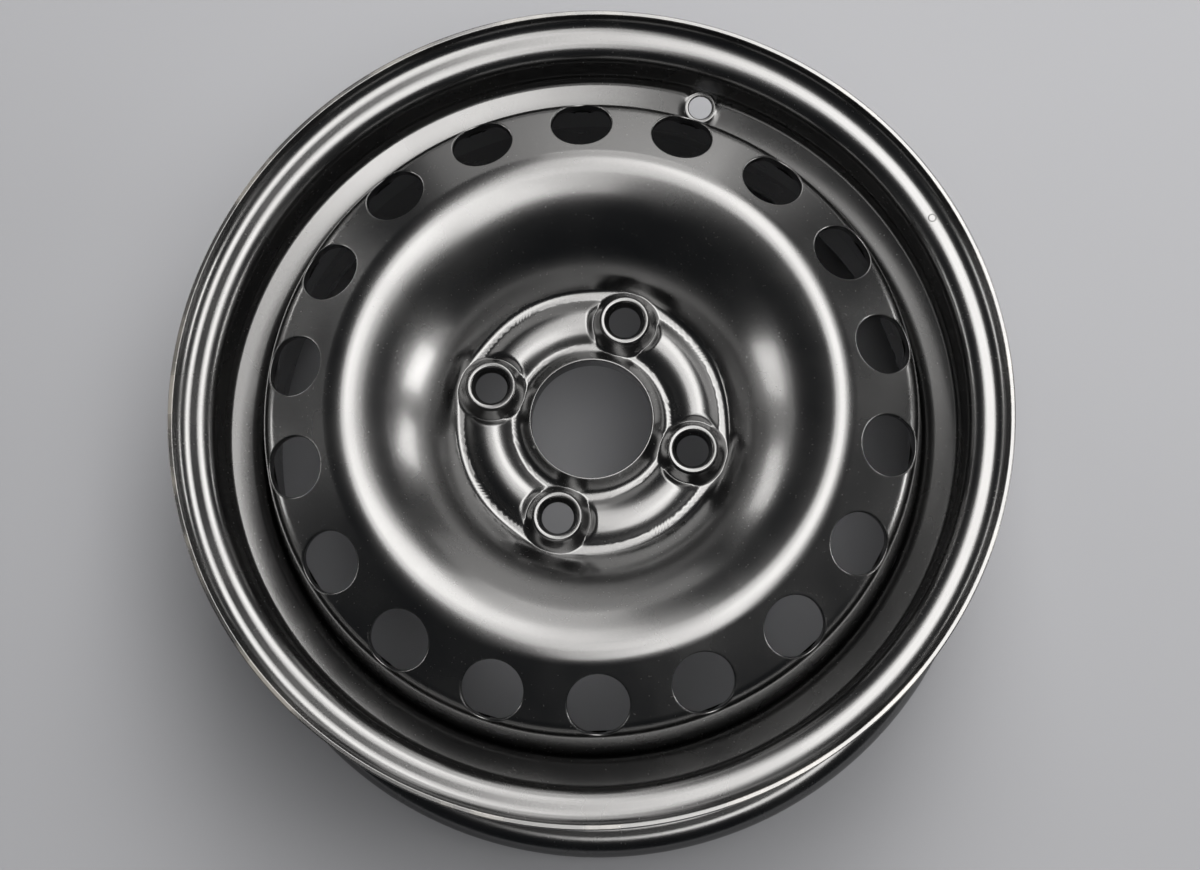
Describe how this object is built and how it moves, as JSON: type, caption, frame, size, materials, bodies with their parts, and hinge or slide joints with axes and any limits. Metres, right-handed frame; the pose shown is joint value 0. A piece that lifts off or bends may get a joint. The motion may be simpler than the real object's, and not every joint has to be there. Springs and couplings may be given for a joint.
{
  "type": "steel wheel",
  "caption": "Pressed steel car wheel: a rolled drop-centre rim welded to a dished disc with vent holes, a bolt circle and a centre bore, painted satin black.",
  "frame": {"origin": "on the wheel's axis, at the floor under the inboard flange", "axes": "+Z along the wheel's axis towards the outboard face, +Y through the valve hole"},
  "size_m": [0.3898, 0.3896, 0.1531],
  "materials": {
    "rim_paint": "satin black dip paint, worn bright along the lips",
    "disc_paint": "satin black dip paint",
    "weld_paint": "weld beads under satin black dip paint"
  },
  "bodies": {
    "root": {"rim": "rim_paint", "disc": "disc_paint", "disc_welds": "weld_paint"}
  },
  "joints": []
}
